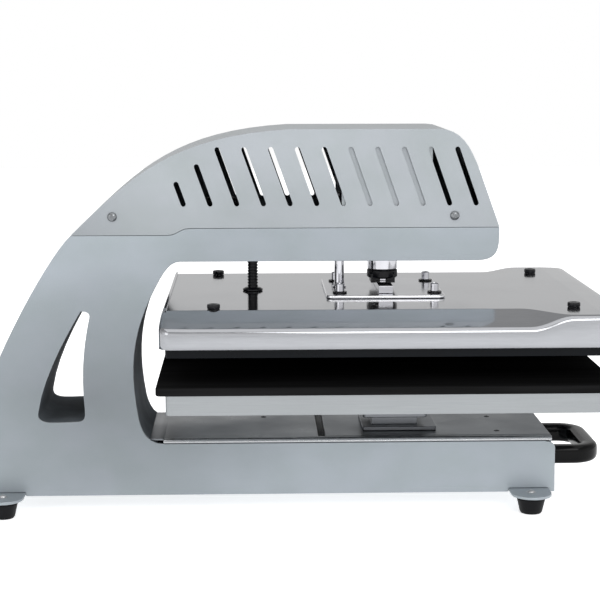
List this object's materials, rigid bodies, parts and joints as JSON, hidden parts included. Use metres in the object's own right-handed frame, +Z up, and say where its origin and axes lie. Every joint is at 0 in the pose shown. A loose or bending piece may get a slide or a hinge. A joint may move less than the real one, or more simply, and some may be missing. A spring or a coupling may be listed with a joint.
{
  "type": "heat press",
  "caption": "Bench heat press with a C-shaped sheet-metal stand, a pneumatic press head over a heated flat platen, and a lower platen on a slide-out drawer with a front handle.",
  "frame": {"origin": "centre of the bounding box in plan, on the plane of the foot soles", "axes": "+X towards the operator, where the drawer slides out; +Z up; +Y to the operator's right as they face the machine"},
  "size_m": [0.747, 0.424, 0.455],
  "materials": {
    "silver_paint": "satin metallic silver-grey powder coat",
    "cover_paint": "satin metallic silver-grey powder coat, a little lighter",
    "inner_grey": "dark grey paint",
    "stainless": "polished stainless sheet with a fine grain",
    "chrome": "bright chrome",
    "zinc": "zinc plated steel",
    "aluminium": "milled, fine straight lines",
    "heater_coat": "blue-black non-stick coating",
    "silicone": "black silicone rubber, faint gloss",
    "black_rubber": "matte black rubber",
    "black_plastic": "matte black plastic",
    "gloss_black": "gloss black",
    "black_steel": "blackened steel",
    "insulation": "white fibre board",
    "bronze": "sintered bronze"
  },
  "bodies": {
    "frame": {"left_side_plate": "silver_paint", "right_side_plate": "silver_paint", "back_panel": "silver_paint", "arm_channel": "silver_paint", "base_floor": "silver_paint", "front_foot_bar": "silver_paint", "rear_foot_bar": "silver_paint", "cover_left_panel": "cover_paint", "cover_right_panel": "cover_paint", "cover_top_sheet": "cover_paint", "cylinder_bracket": "cover_paint", "throat_liner": "inner_grey", "window_liner": "inner_grey", "base_deck": "stainless", "cover_screw_left_rear": "zinc", "cover_screw_left_front": "zinc", "cover_screw_right_rear": "zinc", "cover_screw_right_front": "zinc", "left_rail": "zinc", "right_rail": "zinc", "air_inlet": "zinc", "cylinder_base_cap": "aluminium", "cylinder_barrel": "aluminium", "foot_rear_left": "black_rubber", "foot_rear_right": "black_rubber", "foot_front_left": "black_rubber", "foot_front_right": "black_rubber", "conduit_grommet": "black_rubber", "controller_box": "black_plastic", "power_inlet": "black_plastic", "control_panel": "gloss_black", "guide_bush": "bronze"},
    "press_head": {"main_rod": "chrome", "piston": "aluminium", "rod_fork": "black_steel", "swivel_bar": "chrome", "mount_plate": "chrome", "mount_bolt_rear_left": "chrome", "mount_bolt_rear_right": "chrome", "mount_bolt_front_left": "chrome", "mount_bolt_front_right": "chrome", "guide_rod": "chrome", "hood": "stainless", "insulation": "insulation", "heater_plate": "heater_coat", "hood_cap_rear_left": "black_plastic", "hood_cap_rear_right": "black_plastic", "hood_cap_front_left": "black_plastic", "hood_cap_front_right": "black_plastic", "conduit": "black_plastic", "conduit_gland": "black_plastic"},
    "drawer": {"carriage": "zinc", "slide_tray": "stainless", "drawer_front": "silver_paint", "handle": "gloss_black", "pedestal_foot": "zinc", "pedestal_bracket": "black_steel", "lower_plate": "aluminium", "silicone_pad": "silicone"},
    "rocker": {"rocker_switch": "gloss_black"}
  },
  "joints": [
    {"name": "press_slide", "type": "slide", "parent": "frame", "child": "press_head", "axis": [0, 0, 1], "range_m": [-0.031, 0]},
    {"name": "drawer_slide", "type": "slide", "parent": "frame", "child": "drawer", "axis": [1, 0, 0], "range_m": [0, 0.28]},
    {"name": "rocker_hinge", "type": "hinge", "parent": "frame", "child": "rocker", "pos_m": [-0.372, 0.005, 0.062], "axis": [0, 1, 0], "range_deg": [-12, 0]}
  ]
}
